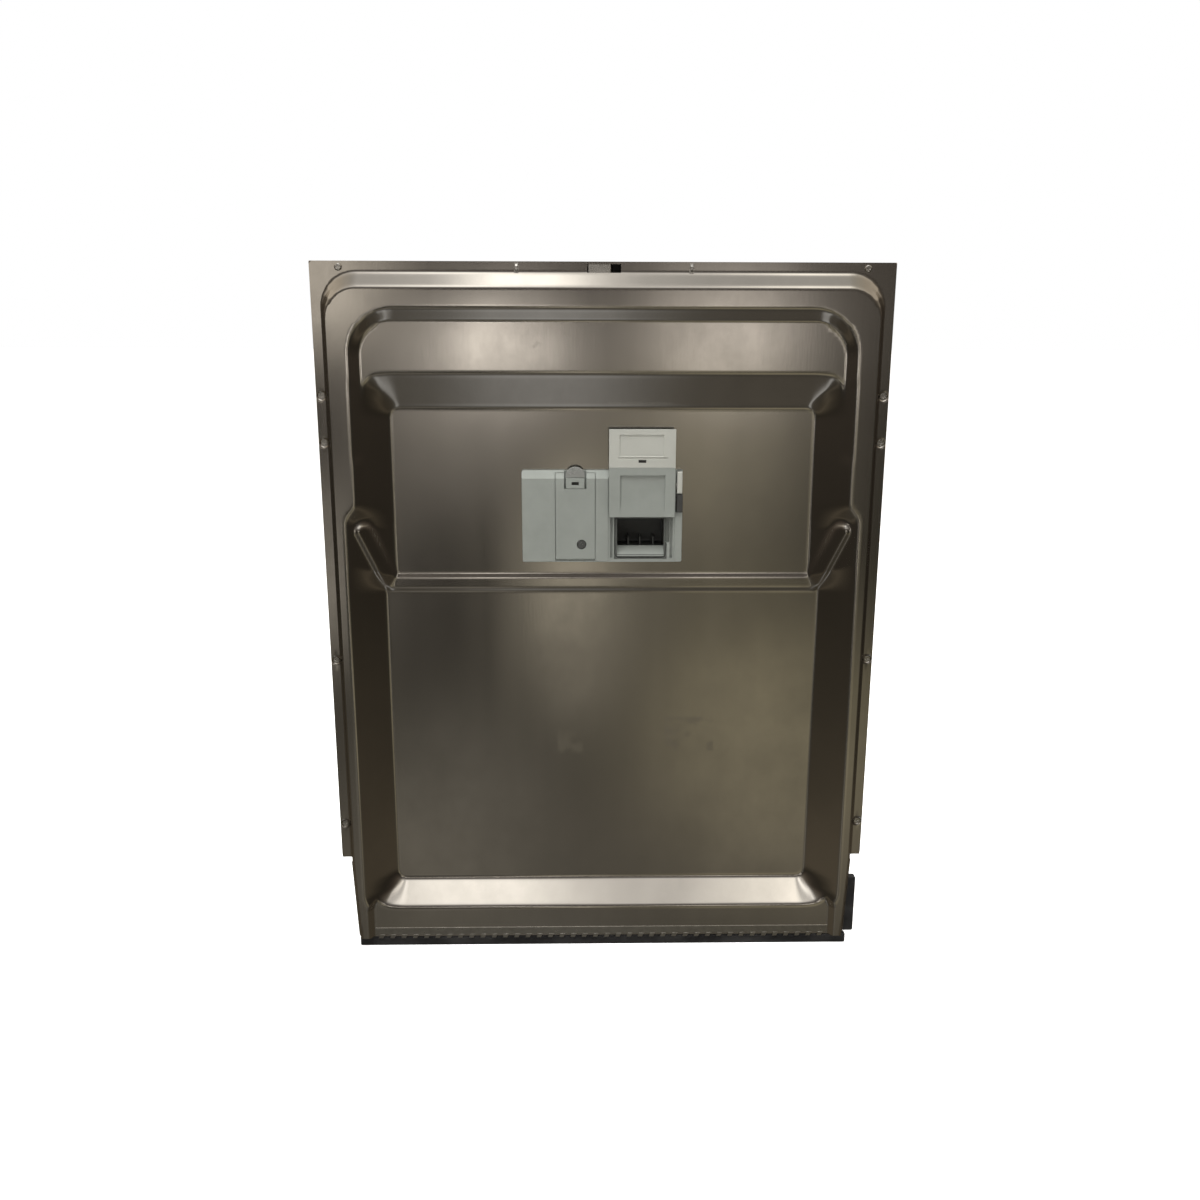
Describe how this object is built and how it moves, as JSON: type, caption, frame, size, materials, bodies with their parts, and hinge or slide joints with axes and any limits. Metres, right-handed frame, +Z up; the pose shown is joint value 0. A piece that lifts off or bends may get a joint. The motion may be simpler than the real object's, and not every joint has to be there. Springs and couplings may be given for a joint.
{
  "type": "dishwasher inner door",
  "caption": "Pressed stainless inner door liner with a detergent and rinse-aid dispenser, sliding cover, door latch, hinge brackets and bottom seal.",
  "frame": {"origin": "middle of the four hinge-bolt holes, on the rear plane of the liner's folded edges", "axes": "+Z up along the door, +Y backwards from the wash side towards the outer panel, +X to the viewer's right facing the wash side"},
  "size_m": [0.59, 0.0611, 0.76],
  "materials": {
    "stainless_liner": "pressed stainless sheet, dull with soft stains",
    "zinc_steel": "zinc plated",
    "strip_steel": "bright stainless",
    "screw_steel": "bright stainless",
    "spring_steel": "polished wire",
    "contact_brass": "bright",
    "coil_copper": "lacquered winding under tape",
    "black_rubber": "matt",
    "grey_rubber": "matt",
    "damping_mat": "matt bitumen mat",
    "grey_plastic": "satin light grey",
    "light_plastic": "satin off-white",
    "dark_plastic": "satin dark grey",
    "black_plastic": "matt",
    "white_plastic": "satin",
    "blue_plastic": "satin",
    "clear_plastic": "translucent moulding"
  },
  "bodies": {
    "door": {"inner_door_liner": "stainless_liner", "bottom_seal": "black_rubber", "seal_clamp_strip": "zinc_steel", "toothed_edge_strip": "strip_steel", "seal_end_right": "black_rubber", "hinge_bracket_left": "zinc_steel", "hinge_bracket_right": "zinc_steel", "side_screws": "screw_steel", "corner_screws": "screw_steel", "console_clips": "screw_steel", "latch_housing": "black_plastic", "latch_spring": "spring_steel", "door_switch": "white_plastic", "dispenser_housing": "grey_plastic", "dispenser_gasket": "black_rubber", "dispenser_retainer": "zinc_steel", "retainer_screws": "screw_steel", "rinse_aid_tank": "white_plastic", "filler_seal": "black_rubber", "lid_hinge_pin": "spring_steel", "cover_spring": "spring_steel", "button_spring": "spring_steel", "lever_pin": "spring_steel", "actuator_frame": "zinc_steel", "actuator_coil": "coil_copper", "plunger_spring": "spring_steel", "terminal_block": "white_plastic", "contact_blades": "contact_brass", "damping_pad_lower": "damping_mat", "damping_pad_upper": "damping_mat"},
    "detergent_cover": {"detergent_cover": "grey_plastic", "cover_grip_panel": "light_plastic", "cover_seal": "grey_rubber"},
    "rinse_aid_lid": {"rinse_aid_lid": "grey_plastic", "indicator_window": "clear_plastic"},
    "lid_catch": {"lid_catch_tab": "grey_plastic", "catch_tongue": "clear_plastic"},
    "dosing_dial": {"dosing_dial": "blue_plastic"},
    "release_button": {"release_button": "dark_plastic"},
    "latch_lever": {"latch_lever": "light_plastic"},
    "actuator_plunger": {"actuator_plunger": "spring_steel"},
    "latch_bolt": {"latch_bolt": "screw_steel"}
  },
  "joints": [
    {"name": "detergent_cover_slide", "type": "slide", "parent": "door", "child": "detergent_cover", "axis": [0, 0, -1], "range_m": [0, 0.0445], "stiffness_N_per_m": 60, "springref_m": -0.03, "deforming": ["cover_spring"]},
    {"name": "rinse_aid_lid_hinge", "type": "hinge", "parent": "door", "child": "rinse_aid_lid", "pos_m": [-0.0296, -0.015, 0.3961], "axis": [1, 0, 0], "range_deg": [0, 95]},
    {"name": "catch_flex", "type": "hinge", "parent": "rinse_aid_lid", "child": "lid_catch", "pos_m": [-0.0296, -0.015, 0.4707], "axis": [-1, 0, 0], "range_deg": [0, 5], "stiffness_Nm_per_rad": 0.3},
    {"name": "dosing_dial_turn", "type": "hinge", "parent": "door", "child": "dosing_dial", "pos_m": [-0.0296, -0.011, 0.425], "axis": [0, -1, 0], "range_deg": [0, 150]},
    {"name": "release_button_press", "type": "slide", "parent": "door", "child": "release_button", "axis": [0, 1, 0], "range_m": [0, 0.0013], "stiffness_N_per_m": 400, "springref_m": -0.001, "deforming": ["button_spring"]},
    {"name": "latch_lever_tilt", "type": "hinge", "parent": "door", "child": "latch_lever", "pos_m": [0.0803, -0.0085, 0.471], "axis": [-1, 0, 0], "range_deg": [0, 6]},
    {"name": "plunger_slide", "type": "slide", "parent": "door", "child": "actuator_plunger", "axis": [0, 0, -1], "range_m": [0, 0.00219], "stiffness_N_per_m": 150, "springref_m": -0.003, "deforming": ["plunger_spring"]},
    {"name": "latch_bolt_slide", "type": "slide", "parent": "door", "child": "latch_bolt", "axis": [-1, 0, 0], "range_m": [0, 0.008], "stiffness_N_per_m": 150, "springref_m": -0.004, "deforming": ["latch_spring"]}
  ],
  "couplings": [
    {"joint": "latch_lever_tilt", "follows": "plunger_slide", "rad_per_m": 47.62}
  ]
}
